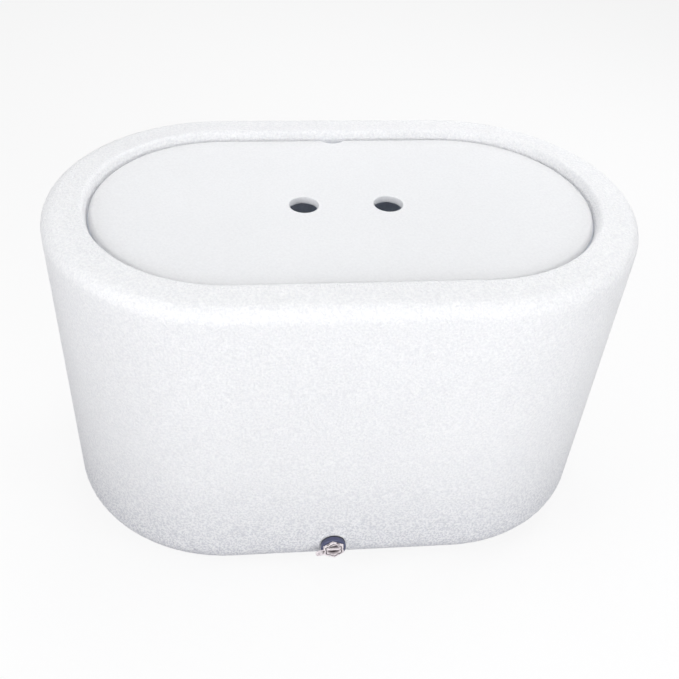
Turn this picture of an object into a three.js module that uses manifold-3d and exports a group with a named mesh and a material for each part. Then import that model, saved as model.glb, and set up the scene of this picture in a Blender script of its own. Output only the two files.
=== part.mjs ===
// Live bait well: a double-walled oval tank with a recessed lift-out lid, a low drain with a
// screw plug, and an overflow pipe inside. Millimetres, +Z up, X along the tank, the drain on
// the front wall (-Y). The origin is the middle of the base, on the floor.
import * as THREE from 'three';
import { mergeVertices } from 'three/addons/utils/BufferGeometryUtils.js';
import Module from 'manifold-3d';

const wasm = await Module();
wasm.setup();

// Tank body. Every level of it is an oval: two half circles joined by straight sides.
const straightLength = 282;
const shoulderRadius = 215.5;
const footRadius = 195;
const tankHeight = 425.5;
const rimSlope = 4.2;
const rimWidth = 48.2;
const skin = 4.5;
const footFillet = 38;
const shoulderFillet = 18;
const crestFillet = 5;

// Recess that takes the lid, with the ledge that the liner hangs on.
const recessTaper = 5.6;
const seatDrop = 17;
const ledgeWidth = 14.6;

// Liner, hung on the shell's ledge. It draws in towards its floor by at least this draft, and
// leaves at least this wall to the shell's foot.
const linerDraft = 10;
const footWall = 57.9;
const floorHeight = 30;
const linerFloorFillet = 30;

// Drain pocket in the liner: a flat niche for the fitting, run on into a sump in the floor.
const pocketWidth = 62;
const nicheDepth = 13.2;
const nicheRise = 25.5;
const nutClearance = 1.4;
const sumpReach = 44;
const pocketCorner = 10;

// Lid.
const lidGap = 1.5;
const lidThickness = 8.6;
const lidCrown = 0.7;
const lidTopFillet = 6.4;
const lidBottomFillet = 0.6;
const fingerHoleRadius = 17.6;
const fingerHoleSpacing = 101.6;
const fingerHoleOffset = 2.4;
const notchReach = 10.9;
const notchOffset = 3;

// Drain, on a flat boss of the front wall.
const drainOffset = -15;
const drainHeight = 39.5;
const bossRadius = 19;
const bossProud = 0.8;
const tubeRadius = 12.5;
const drainBore = 9.3;
const collarRadius = 15.9;
const collarThickness = 6;
const outerGasketThickness = 1.5;
const sleeveWall = 2.6;
const innerGasketThickness = 2;
const washerThickness = 1.5;
const washerRadius = 19;
const nutFlats = 34;
const nutThickness = 8;
const spigotLength = 17.7;

// Drain plug.
const plugThreadRadius = 10.4;
const plugThreadLength = 11;
const plugHeadFlats = 25.4;
const plugHeadThickness = 2.4;
const plugClockDegrees = 7;
const plugRecessRadius = 8;
const plugRecessDepth = 7;
const plugBarWidth = 3.4;
const plugBarDrop = 1.2;
const plugBarCorner = 0.8;
const plugEarReach = 19.5;
const plugEarRadius = 4;
const plugEarHole = 1.5;
const plugEarDegrees = 198;
const plugEarThickness = 2.4;
const plugSealSection = 1.6;

// Overflow: an elbow on the drain's inner end, a pipe in it and a slotted cap on top.
const elbowWall = 3.6;
const elbowBore = 9.5;
const overflowGap = 18;
const elbowSealSection = 2;
const pipeRadius = 13.35;
const pipeWall = 2.9;
const pipeSocketDepth = 20;
const pipeSocketRise = 15;
const waterDrop = 59.2;
const capWall = 2.4;
const capSkirt = 14;
const capHead = 20;
const capSlotCount = 8;
const capSlotWidth = 5;
const capSlotHeight = 13;
const capSlotCorner = 1;

// Plugs that close the two holes in the base through which the foam was poured.
const portOffset = 95;
const portRadius = 12;
const portLip = 4;
const portLipThickness = 1.7;
const portDepth = 8;

// Clearances and mesh fineness.
const fit = 0.3;
const sealGap = 0.15;
const overrun = 5;
const arcStepDegrees = 20;
const ovalSegments = 18;
const roundSegments = 24;
const cornerSegments = 4;
const sealSides = 8;

// Levels and radii that follow from the sizes above.
const halfStraight = straightLength / 2;
const seatHeight = tankHeight - seatDrop;
const rimInnerRadius = shoulderRadius - rimWidth;
const recessRadius = rimInnerRadius - recessTaper;
const ledgeHeight = seatHeight - skin - fit;
const linerRadius = recessRadius - ledgeWidth;
const linerFloorRadius = Math.min(linerRadius - linerDraft, footRadius - footWall);
const lidRadius = recessRadius - lidGap;
const wallSlopeShare = (shoulderRadius - footRadius) / (tankHeight - rimSlope);
const linerSlopeShare = (linerRadius - linerFloorRadius) / (seatHeight - floorHeight);

// The boss's face stands proud of the sloped wall. Inside, the boss reaches past the skin all
// round the spacer tube, also where the tube's lower edge meets the foot's fillet.
const sleeveRadius = tubeRadius + fit + sleeveWall;
const bossRise = Math.abs(wallSlopeShare) * bossRadius;
const bossFace = footRadius + wallSlopeShare * drainHeight + bossRise + bossProud;
const tuckRadius = footFillet - skin;
const tuckDrop = Math.max(0, footFillet - drainHeight + sleeveRadius);
const footTuck = tuckRadius - Math.sqrt(tuckRadius ** 2 - tuckDrop ** 2);
const sleeveRise = Math.abs(wallSlopeShare) * sleeveRadius;
const bossDepth = bossProud + bossRise + sleeveRise + footTuck + skin + fit;

// The niche for the fitting, and the wall from the boss's face to it.
const pocketFront = linerFloorRadius + linerSlopeShare * (drainHeight - floorHeight) + nicheDepth;
const pocketFloor = drainHeight - nutFlats / Math.sqrt(3) - nutClearance;
const pocketRoof = drainHeight + nicheRise;
const wallStack = bossFace - pocketFront;

// The overflow stands clear of the liner's wall, and the sump runs past it.
const capRadius = pipeRadius + fit + capWall;
const overflowSetback = linerFloorRadius - capRadius - overflowGap;
const pocketBack = overflowSetback - sumpReach;
const pipeTop = seatHeight - waterDrop;

const degrees = Math.PI / 180;

// A corner of a section: distance from the centre line, height, and fillet radius.
function corner(r, z, fillet = 0) {
  return { r, z, fillet };
}

// The section's points, with each fillet drawn as an arc that meets both sides smoothly.
function rounded(corners) {
  const points = [];
  corners.forEach((here, index) => {
    const at = new THREE.Vector2(here.r, here.z);
    if (here.fillet === 0 || index === 0 || index === corners.length - 1) {
      points.push(at);
      return;
    }
    const before = corners[index - 1];
    const after = corners[index + 1];
    const back = new THREE.Vector2(before.r, before.z).sub(at).normalize();
    const forth = new THREE.Vector2(after.r, after.z).sub(at).normalize();
    const halfAngle = Math.acos(back.dot(forth)) / 2;
    const bisector = back.clone().add(forth).normalize();
    const centre = at.clone().addScaledVector(bisector, here.fillet / Math.sin(halfAngle));
    const tangent = here.fillet / Math.tan(halfAngle);
    const start = at.clone().addScaledVector(back, tangent).sub(centre);
    const end = at.clone().addScaledVector(forth, tangent).sub(centre);
    const sweep = Math.atan2(start.cross(end), start.dot(end));
    const steps = Math.max(2, Math.round(Math.abs(sweep) / (arcStepDegrees * degrees)));
    for (let step = 0; step <= steps; step += 1) {
      const turn = sweep * (step / steps);
      points.push(start.clone().rotateAround(new THREE.Vector2(), turn).add(centre));
    }
  });
  return points;
}

// The same section moved to its left by a wall thickness, with the fillets kept concentric.
function inset(corners, wall) {
  const moved = corners.slice(1).map((next, index) => {
    const run = new THREE.Vector2(next.r - corners[index].r, next.z - corners[index].z).normalize();
    const left = new THREE.Vector2(-run.y, run.x).multiplyScalar(wall);
    return { run, from: new THREE.Vector2(corners[index].r, corners[index].z).add(left) };
  });
  return corners.map((here, index) => {
    const before = moved[index - 1];
    const after = moved[index];
    if (!before) {
      return corner(after.from.x, after.from.y);
    }
    if (!after) {
      const last = new THREE.Vector2(here.r, here.z);
      const left = new THREE.Vector2(-before.run.y, before.run.x).multiplyScalar(wall);
      last.add(left);
      return corner(last.x, last.y);
    }
    const bend = before.run.cross(after.run);
    const reach = after.from.clone().sub(before.from).cross(after.run) / bend;
    const at = before.from.clone().addScaledVector(before.run, reach);
    const fillet = here.fillet === 0 ? 0 : Math.max(0, here.fillet - Math.sign(bend) * wall);
    return corner(at.x, at.y, fillet);
  });
}

// A solid whose section follows an oval: each point of the section is carried round both ends.
function oval(section) {
  const area = section.reduce((sum, point, index) => {
    return sum + point.cross(section[(index + 1) % section.length]);
  }, 0);
  const points = area > 0 ? section : section.slice().reverse();
  const stations = [];
  for (const end of [1, -1]) {
    for (let step = 0; step <= ovalSegments; step += 1) {
      const angle = Math.PI * (step / ovalSegments - end / 2);
      stations.push({ centre: end * halfStraight, cos: Math.cos(angle), sin: Math.sin(angle) });
    }
  }
  const positions = [];
  for (const { centre, cos, sin } of stations) {
    for (const point of points) {
      positions.push(centre + point.x * cos, point.x * sin, point.y);
    }
  }
  const indices = [];
  const count = points.length;
  for (let j = 0; j < stations.length; j += 1) {
    const here = j * count;
    const there = ((j + 1) % stations.length) * count;
    for (let i = 0; i < count; i += 1) {
      const next = (i + 1) % count;
      if (points[i].x > 0 || points[next].x > 0) {
        indices.push(here + i, there + i, there + next);
        indices.push(here + i, there + next, here + next);
      }
    }
  }
  const geometry = new THREE.BufferGeometry();
  geometry.setAttribute('position', new THREE.Float32BufferAttribute(positions, 3));
  geometry.setIndex(indices);
  return solid(geometry);
}

// A solid turned about Z from a section that starts and ends on the axis, or closes on itself.
function turned(section, segments = roundSegments) {
  const closed = section.concat([section[0].clone()]);
  const geometry = new THREE.LatheGeometry(closed, segments);
  geometry.rotateX(Math.PI / 2);
  return solid(geometry);
}

// A round bar or hole from one height to another.
function bar(radius, from, to, segments = roundSegments) {
  const section = [corner(0, from), corner(radius, from), corner(radius, to), corner(0, to)];
  return turned(rounded(section), segments);
}

// A ball about the origin.
function ball(radius) {
  const geometry = new THREE.SphereGeometry(radius, roundSegments, roundSegments / 2);
  geometry.rotateX(Math.PI / 2);
  return solid(geometry);
}

// A flat ring.
function ring(inner, outer, from, to) {
  return bar(outer, from, to).subtract(bar(inner, from - overrun, to + overrun));
}

// A ring of round section, such as a rubber seal.
function roundRing(inner, sectionDiameter, height) {
  const radius = sectionDiameter / 2;
  const section = [];
  for (let side = 0; side < sealSides; side += 1) {
    const angle = 2 * Math.PI * (side / sealSides);
    const r = inner + radius + radius * Math.cos(angle);
    section.push(new THREE.Vector2(r, height + radius * Math.sin(angle)));
  }
  return turned(section);
}

// An upright prism of a flat outline.
function prism(outline, from, to) {
  const options = { depth: to - from, bevelEnabled: false, curveSegments: cornerSegments };
  const geometry = new THREE.ExtrudeGeometry(outline, options);
  geometry.translate(0, 0, from);
  return solid(geometry);
}

// A hexagon of the given width across its flats, turned so that one corner points up.
function hexagon(flats) {
  const reach = flats / Math.sqrt(3);
  const corners = [];
  for (let side = 0; side < 6; side += 1) {
    const angle = Math.PI * (side / 3 + 1 / 2);
    corners.push(new THREE.Vector2(reach * Math.cos(angle), reach * Math.sin(angle)));
  }
  return new THREE.Shape(corners);
}

// A rectangle with round corners.
function roundedRectangle(left, right, front, back, radius) {
  const outline = new THREE.Shape();
  outline.moveTo(left + radius, front);
  outline.lineTo(right - radius, front);
  outline.absarc(right - radius, front + radius, radius, -Math.PI / 2, 0, false);
  outline.lineTo(right, back - radius);
  outline.absarc(right - radius, back - radius, radius, 0, Math.PI / 2, false);
  outline.lineTo(left + radius, back);
  outline.absarc(left + radius, back - radius, radius, Math.PI / 2, Math.PI, false);
  outline.lineTo(left, front + radius);
  outline.absarc(left + radius, front + radius, radius, Math.PI, Math.PI * 1.5, false);
  return outline;
}

// A three.js geometry as a solid that can be cut and joined.
function solid(geometry) {
  geometry.deleteAttribute('normal');
  geometry.deleteAttribute('uv');
  const merged = mergeVertices(geometry);
  const corners = merged.index.array;
  const kept = [];
  for (let i = 0; i < corners.length; i += 3) {
    const [a, b, c] = corners.slice(i, i + 3);
    if (a !== b && b !== c && c !== a) {
      kept.push(a, b, c);
    }
  }
  return new wasm.Manifold(new wasm.Mesh({
    numProp: 3,
    vertProperties: new Float32Array(merged.attributes.position.array),
    triVerts: new Uint32Array(kept),
  }));
}

// The solid as a three.js mesh with a plain material.
function piece(name, body, finish) {
  const mesh = body.getMesh();
  const geometry = new THREE.BufferGeometry();
  geometry.setAttribute('position', new THREE.BufferAttribute(mesh.vertProperties, mesh.numProp));
  geometry.setIndex(new THREE.BufferAttribute(mesh.triVerts, 1));
  geometry.computeVertexNormals();
  const node = new THREE.Mesh(geometry, new THREE.MeshStandardMaterial({ metalness: 0, ...finish }));
  node.name = name;
  return node;
}

// Turns a solid drawn along +Z so that it lies along the drain, whose +Z points out of the tank.
function alongDrain(body) {
  return body.rotate([90, 0, 0]).translate([drainOffset, -bossFace, drainHeight]);
}

const polyethylene = { color: 0xf3f2ee, roughness: 0.55 };
const slate = { color: 0x3f4560, roughness: 0.5 };
const nylon = { color: 0xefe8e4, roughness: 0.4 };
const rubber = { color: 0x1d1e22, roughness: 0.8 };
const pvc = { color: 0xe9e9e6, roughness: 0.35 };
const foam = { color: 0xe6d9a8, roughness: 0.9 };

// Sections of the two skins, walked so that the foam always lies to the left.
const shellCorners = [
  corner(0, 0),
  corner(footRadius, 0, footFillet),
  corner(shoulderRadius, tankHeight - rimSlope, shoulderFillet),
  corner(rimInnerRadius, tankHeight, crestFillet),
  corner(recessRadius, seatHeight),
  corner(recessRadius, ledgeHeight),
  corner(linerRadius + skin + fit, ledgeHeight),
];
const linerCorners = [
  corner(recessRadius - fit, seatHeight),
  corner(linerRadius, seatHeight, skin),
  corner(linerFloorRadius, floorHeight, linerFloorFillet),
  corner(0, floorHeight),
];

// The liner's drain pocket, grown by a margin on every side.
function pocket(margin) {
  const side = pocketWidth / 2 + margin;
  const outline = roundedRectangle(drainOffset - side, drainOffset + side,
    -pocketFront - margin, -pocketBack + margin, pocketCorner + margin);
  return prism(outline, pocketFloor - margin, pocketRoof + margin);
}

// The liner's outside, grown by a margin and closed above, as a solid block.
function linerBlock(margin) {
  const section = inset(linerCorners, skin + margin);
  const lip = corner(section[0].r, tankHeight + overrun);
  return oval(rounded([...section.slice().reverse(), lip, corner(0, tankHeight + overrun)]));
}

function outerShell() {
  const section = rounded(shellCorners).concat(rounded(inset(shellCorners, skin)).reverse());
  const boss = alongDrain(bar(bossRadius, -bossDepth, 0));
  const drainHole = alongDrain(bar(tubeRadius + fit, -bossDepth - overrun, overrun));
  let body = oval(section).add(boss).subtract(drainHole);
  for (const side of [-1, 1]) {
    const hole = bar(portRadius + fit, -overrun, skin + overrun);
    const sink = bar(portRadius + portLip + fit, -overrun, portLipThickness + 2 * fit);
    body = body.subtract(hole.add(sink).translate([side * portOffset, 0, 0]));
  }
  return body;
}

function innerTub() {
  const section = rounded(linerCorners).concat(rounded(inset(linerCorners, skin)).reverse());
  const inside = linerCorners.slice(1).reverse();
  const hollow = oval(rounded([...inside, corner(0, seatHeight)]));
  const hole = alongDrain(bar(tubeRadius + fit, -wallStack - overrun, -wallStack + skin + overrun));
  return oval(section).add(pocket(skin).subtract(hollow)).subtract(pocket(0)).subtract(hole);
}

function insulationFoam() {
  const section = inset(shellCorners, skin + fit);
  const ceiling = section[section.length - 1].z;
  const block = oval(rounded([...section.slice(0, -1), corner(0, ceiling)]));
  const sleeve = alongDrain(bar(sleeveRadius + fit, -wallStack - overrun, overrun));
  const boss = alongDrain(bar(bossRadius + fit, -bossDepth - fit, overrun));
  let body = block.subtract(linerBlock(fit)).subtract(pocket(skin + fit));
  body = body.subtract(sleeve).subtract(boss);
  for (const side of [-1, 1]) {
    const port = bar(portRadius + fit, 0, portDepth + fit);
    body = body.subtract(port.translate([side * portOffset, 0, 0]));
  }
  return body;
}

function lid() {
  const top = seatHeight + lidThickness;
  const section = rounded([
    corner(0, seatHeight),
    corner(lidRadius, seatHeight, lidBottomFillet),
    corner(lidRadius, top, lidTopFillet),
    corner(lidRadius / 2, top + lidCrown * 3 / 4, lidRadius / 2),
    corner(0, top + lidCrown),
  ]);
  let body = oval(section);
  const cutter = bar(fingerHoleRadius, seatHeight - overrun, top + overrun);
  for (const side of [-1, 1]) {
    const place = fingerHoleOffset + side * fingerHoleSpacing / 2;
    body = body.subtract(cutter.translate([place, 0, 0]));
  }
  const notchCentre = lidRadius - notchReach + fingerHoleRadius;
  return body.subtract(cutter.translate([notchOffset, notchCentre, 0]));
}

// Depth of the gasket, washer and nut on the inner side of the wall.
const innerSeatDepth = innerGasketThickness + washerThickness + nutThickness + 3 * fit;
const tubeInnerEnd = -wallStack - innerSeatDepth - spigotLength;
const collarBack = outerGasketThickness + 2 * fit;
const collarFront = collarBack + collarThickness;
const plugBack = collarFront + fit;
const plugFront = plugBack + plugHeadThickness;

function drainBody() {
  const bore = bar(drainBore, tubeInnerEnd - overrun, collarFront + overrun);
  const thread = bar(plugThreadRadius + fit, collarFront - plugThreadLength - fit, collarFront + overrun);
  const sealRadius = plugThreadRadius + plugSealSection + fit;
  const sealSeat = bar(sealRadius, collarFront - plugSealSection, collarFront + overrun);
  const body = bar(collarRadius, collarBack, collarFront).add(bar(tubeRadius, tubeInnerEnd, collarFront));
  return alongDrain(body.subtract(bore).subtract(thread).subtract(sealSeat));
}

function drainOuterGasket() {
  return alongDrain(ring(tubeRadius + fit, collarRadius, fit, fit + outerGasketThickness));
}

// Spacer tube that lets the nut be tightened without crushing the foam.
function drainSleeve() {
  const inner = tubeRadius + fit;
  return alongDrain(ring(inner, sleeveRadius, -wallStack + skin + fit, -bossDepth - fit));
}

function drainInnerGasket() {
  const back = -wallStack - fit;
  return alongDrain(ring(tubeRadius + fit, washerRadius, back - innerGasketThickness, back));
}

function drainWasher() {
  const back = -wallStack - innerGasketThickness - 2 * fit;
  return alongDrain(ring(tubeRadius + fit, washerRadius, back - washerThickness, back));
}

function drainLocknut() {
  const back = -wallStack - innerGasketThickness - washerThickness - 3 * fit;
  const hole = bar(tubeRadius + fit, back - nutThickness - overrun, back + overrun);
  return alongDrain(prism(hexagon(nutFlats), back - nutThickness, back).subtract(hole));
}

// White screw plug: a hexagonal head with a finger bar across its recess, and an ear for a cord.
function drainPlug() {
  const head = prism(hexagon(plugHeadFlats), plugBack, plugFront).rotate([0, 0, plugClockDegrees]);
  const shank = bar(plugThreadRadius, plugBack - plugThreadLength, plugBack + fit);
  const recess = bar(plugRecessRadius, plugFront - plugRecessDepth, plugFront + overrun);
  const half = plugBarWidth / 2;
  const barLength = plugRecessRadius + fit;
  const gripOutline = roundedRectangle(-barLength, barLength, -half, half, plugBarCorner);
  const grip = prism(gripOutline, plugFront - plugRecessDepth - fit, plugFront - plugBarDrop);
  const earRoot = prism(roundedRectangle(0, plugEarReach, -plugEarRadius, plugEarRadius, plugBarCorner),
    plugFront - plugEarThickness, plugFront);
  const earEnd = bar(plugEarRadius, plugFront - plugEarThickness, plugFront);
  const earHole = bar(plugEarHole, plugBack - overrun, plugFront + overrun);
  const eye = [plugEarReach, 0, 0];
  const ear = earRoot.add(earEnd.translate(eye)).subtract(earHole.translate(eye))
    .rotate([0, 0, plugEarDegrees]);
  return alongDrain(head.add(shank).add(ear).subtract(recess).add(grip));
}

function plugSeal() {
  const section = plugSealSection - sealGap;
  return alongDrain(roundRing(plugThreadRadius + sealGap, section, collarFront - plugSealSection / 2));
}

const elbowMouth = -wallStack - innerSeatDepth;
const pipeSeat = drainHeight + pipeSocketRise;
const elbowTop = pipeSeat + pipeSocketDepth;
const elbowSealHeight = elbowMouth - spigotLength / 2;

// Turns a solid drawn along Z so that it stands on the overflow's upright axis.
function onOverflow(body) {
  return body.translate([drainOffset, -overflowSetback, 0]);
}

// Elbow whose socket slips over the drain's inner end, so that it swings and pulls off.
function overflowElbow() {
  const socket = tubeRadius + fit;
  const upright = pipeRadius + fit;
  const knee = overflowSetback - bossFace;
  const outside = alongDrain(bar(socket + elbowWall, knee, elbowMouth - fit))
    .add(onOverflow(bar(upright + elbowWall, drainHeight, elbowTop)))
    .add(onOverflow(ball(upright + elbowWall).translate([0, 0, drainHeight])));
  const inside = alongDrain(bar(elbowBore, knee, elbowMouth + overrun))
    .add(alongDrain(bar(socket, tubeInnerEnd - fit, elbowMouth + overrun)))
    .add(onOverflow(bar(elbowBore, drainHeight, elbowTop + overrun)))
    .add(onOverflow(bar(upright, pipeSeat, elbowTop + overrun)))
    .add(onOverflow(ball(elbowBore).translate([0, 0, drainHeight])));
  const halfGroove = elbowSealSection / 2 + sealGap;
  const grooveRadius = tubeRadius + elbowSealSection + 2 * fit;
  const groove = bar(grooveRadius, elbowSealHeight - halfGroove, elbowSealHeight + halfGroove);
  return outside.subtract(inside).subtract(alongDrain(groove));
}

function elbowSeal() {
  return alongDrain(roundRing(tubeRadius + sealGap, elbowSealSection, elbowSealHeight));
}

function overflowPipe() {
  return onOverflow(ring(pipeRadius - pipeWall, pipeRadius, pipeSeat + fit, pipeTop));
}

// Cap pushed over the pipe's top, with upright slots that keep the bait in the tank.
function overflowCap() {
  const headInside = pipeRadius - pipeWall / 2;
  const top = pipeTop + fit + capHead;
  let body = bar(capRadius, pipeTop - capSkirt, top);
  body = body.subtract(bar(capRadius - capWall, pipeTop - capSkirt - overrun, pipeTop + fit));
  body = body.subtract(bar(headInside, pipeTop - overrun, top - capWall));
  const half = capSlotWidth / 2;
  const slotBase = pipeTop + fit + capWall;
  const slotOutline = roundedRectangle(0, capRadius + overrun, -half, half, capSlotCorner);
  const slot = prism(slotOutline, slotBase, slotBase + capSlotHeight);
  for (let index = 0; index < capSlotCount; index += 1) {
    body = body.subtract(slot.rotate([0, 0, 360 * ((index + 1 / 2) / capSlotCount)]));
  }
  return onOverflow(body);
}

function foamPortPlug(side) {
  const head = bar(portRadius + portLip, fit, fit + portLipThickness);
  const body = head.add(bar(portRadius, fit, portDepth));
  return body.translate([side * portOffset, 0, 0]);
}

function build() {
  const tank = new THREE.Group();
  tank.add(piece('outer_shell', outerShell(), polyethylene));
  tank.add(piece('inner_tub', innerTub(), polyethylene));
  tank.add(piece('insulation_foam', insulationFoam(), foam));
  tank.add(piece('foam_fill_plug', foamPortPlug(-1), nylon));
  tank.add(piece('foam_vent_plug', foamPortPlug(1), nylon));

  const drain = new THREE.Group();
  drain.add(piece('drain_body', drainBody(), slate));
  drain.add(piece('drain_outer_gasket', drainOuterGasket(), rubber));
  drain.add(piece('drain_sleeve', drainSleeve(), nylon));
  drain.add(piece('drain_inner_gasket', drainInnerGasket(), rubber));
  drain.add(piece('drain_washer', drainWasher(), nylon));
  drain.add(piece('drain_locknut', drainLocknut(), slate));
  drain.add(piece('drain_plug', drainPlug(), nylon));
  drain.add(piece('plug_seal', plugSeal(), rubber));

  const overflow = new THREE.Group();
  overflow.add(piece('overflow_elbow', overflowElbow(), pvc));
  overflow.add(piece('elbow_seal', elbowSeal(), rubber));
  overflow.add(piece('overflow_pipe', overflowPipe(), pvc));
  overflow.add(piece('overflow_cap', overflowCap(), pvc));

  const model = new THREE.Group();
  model.add(tank, drain, overflow, piece('lid', lid(), polyethylene));
  return model;
}

export default build();
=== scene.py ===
from math import cos, pi, radians, sin, sqrt, tan

import bmesh
import bpy
import numpy as np
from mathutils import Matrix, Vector


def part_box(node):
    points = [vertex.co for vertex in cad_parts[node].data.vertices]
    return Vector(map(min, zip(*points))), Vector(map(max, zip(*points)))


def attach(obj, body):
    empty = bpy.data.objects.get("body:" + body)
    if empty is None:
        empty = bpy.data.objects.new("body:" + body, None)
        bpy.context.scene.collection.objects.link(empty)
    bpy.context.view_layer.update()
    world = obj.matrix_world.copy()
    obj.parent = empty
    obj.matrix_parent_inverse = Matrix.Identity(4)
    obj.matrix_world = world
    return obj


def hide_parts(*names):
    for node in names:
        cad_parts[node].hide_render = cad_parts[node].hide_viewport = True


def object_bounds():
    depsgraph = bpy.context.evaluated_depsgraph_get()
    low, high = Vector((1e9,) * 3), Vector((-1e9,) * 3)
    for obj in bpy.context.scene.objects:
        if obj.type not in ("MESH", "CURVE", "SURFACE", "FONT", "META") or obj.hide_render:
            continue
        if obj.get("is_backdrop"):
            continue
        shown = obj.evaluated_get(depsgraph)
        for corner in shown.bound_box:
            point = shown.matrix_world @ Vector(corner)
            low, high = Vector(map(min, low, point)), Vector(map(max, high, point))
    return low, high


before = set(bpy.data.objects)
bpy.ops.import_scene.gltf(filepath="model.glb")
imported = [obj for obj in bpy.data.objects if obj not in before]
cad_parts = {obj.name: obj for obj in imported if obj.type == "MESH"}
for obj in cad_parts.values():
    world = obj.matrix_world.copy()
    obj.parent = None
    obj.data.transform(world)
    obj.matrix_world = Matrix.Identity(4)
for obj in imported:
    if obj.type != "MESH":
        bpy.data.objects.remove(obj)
cad_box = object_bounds()

# Camera. It looks down on the tank from the front and a little from the left. Its place, turn
# and focal length come from the outline of the tank, the lid and the finger holes.
mm = 0.001
image_width_px = 679
focal_px = 1099.53
centre_px = (319.47, 323.6)
sensor_width = 36
scene = bpy.context.scene
camera_data = bpy.data.cameras.new("camera")
camera_data.sensor_width = sensor_width
camera_data.lens = sensor_width * focal_px / image_width_px
camera_data.shift_x = 1 / 2 - centre_px[0] / image_width_px
camera_data.shift_y = centre_px[1] / image_width_px - 1 / 2
camera = bpy.data.objects.new("camera", camera_data)
camera.location = (-0.17763, -1.10792, 1.11254)
camera.rotation_euler = (radians(51.91), radians(-2.755), radians(-5.886))
scene.collection.objects.link(camera)
scene.camera = camera
scene.view_settings.view_transform = "Standard"

# Studio. A pale floor and a soft world that show as white to the camera, and six soft lamps
# round the tank. The floor keeps the tank's shadow, and is greyer to the light that it returns.
floor_reach = 12.0
floor_seen_tint = (0.86, 0.86, 0.87, 1)
floor_lit_tint = (0.3, 0.3, 0.32, 1)
floor_glow_share = 0.86
backdrop_tint = (0.9, 0.9, 0.905, 1)
world_strength = 0.15
world_tint = (0.95, 0.97, 1, 1)
lamp_aim = (0, 0, 0.2)


def wired(tree, *links):
    """Joins sockets: each link is (from node, its output, to node, its input)."""
    for source, output, target, entry in links:
        tree.links.new(source.outputs[output], target.inputs[entry])


def seen_ray(tree):
    """1 where a camera, gloss or glass ray meets the surface and 0 elsewhere."""
    path = tree.nodes.new("ShaderNodeLightPath")
    either = tree.nodes.new("ShaderNodeMath")
    any_of = tree.nodes.new("ShaderNodeMath")
    either.operation = any_of.operation = "MAXIMUM"
    wired(
        tree,
        (path, "Is Camera Ray", either, 0),
        (path, "Is Glossy Ray", either, 1),
        (either, 0, any_of, 0),
        (path, "Is Transmission Ray", any_of, 1),
    )
    return any_of


paint = bpy.data.materials.new("pale_floor")
paint.use_nodes = True
tree = paint.node_tree
tree.nodes.clear()
lit = tree.nodes.new("ShaderNodeBsdfDiffuse")
lit.inputs["Color"].default_value = floor_lit_tint
seen = tree.nodes.new("ShaderNodeBsdfDiffuse")
seen.inputs["Color"].default_value = floor_seen_tint
glow = tree.nodes.new("ShaderNodeEmission")
bright = tree.nodes.new("ShaderNodeMixShader")
bright.inputs["Fac"].default_value = floor_glow_share
choice = tree.nodes.new("ShaderNodeMixShader")
output = tree.nodes.new("ShaderNodeOutputMaterial")
wired(
    tree,
    (seen, 0, bright, 1),
    (glow, 0, bright, 2),
    (seen_ray(tree), 0, choice, 0),
    (lit, 0, choice, 1),
    (bright, 0, choice, 2),
    (choice, 0, output, "Surface"),
)
floor_mesh = bpy.data.meshes.new("floor")
corners = [(x, y, 0) for x, y in ((-1, -1), (1, -1), (1, 1), (-1, 1))]
floor_mesh.from_pydata(np.array(corners) * floor_reach, [], [(0, 1, 2, 3)])
floor_mesh.materials.append(paint)
floor = bpy.data.objects.new("floor", floor_mesh)
scene.collection.objects.link(floor)
floor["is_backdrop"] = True

world = bpy.data.worlds.new("studio")
scene.world = world
world.use_nodes = True
tree = world.node_tree
tree.nodes.clear()
soft_light = tree.nodes.new("ShaderNodeBackground")
soft_light.inputs["Color"].default_value = world_tint
soft_light.inputs["Strength"].default_value = world_strength
backdrop = tree.nodes.new("ShaderNodeBackground")
backdrop.inputs["Color"].default_value = backdrop_tint
choice = tree.nodes.new("ShaderNodeMixShader")
output = tree.nodes.new("ShaderNodeOutputWorld")
wired(
    tree,
    (seen_ray(tree), 0, choice, 0),
    (soft_light, 0, choice, 1),
    (backdrop, 0, choice, 2),
    (choice, 0, output, "Surface"),
)

# Each lamp: azimuth and elevation in degrees as seen from the aim, distance and width in metres,
# and watts.
lamps = {
    "front_lamp": (0, 10, 1.6, 0.9, 12.4),
    "front_right_lamp": (45, 22, 1.6, 0.9, 7.8),
    "left_lamp": (-66, 28, 1.5, 0.8, 9.2),
    "right_lamp": (125, 35, 1.6, 0.8, 7.8),
    "top_lamp": (180, 82, 1.6, 0.9, 7.8),
    "back_lamp": (180, 35, 1.8, 0.9, 6.0),
}
for name, (azimuth, elevation, distance, width, watts) in lamps.items():
    light = bpy.data.lights.new(name, "AREA")
    light.size = width
    light.energy = watts
    lamp = bpy.data.objects.new(name, light)
    turn, rise = radians(azimuth), radians(elevation)
    away = Vector((sin(turn) * cos(rise), -cos(turn) * cos(rise), sin(rise)))
    lamp.location = Vector(lamp_aim) + away * distance
    lamp.rotation_mode = "QUATERNION"
    lamp.rotation_quaternion = (-away).to_track_quat("-Z", "Y")
    lamp.visible_camera = False
    scene.collection.objects.link(lamp)

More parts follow.
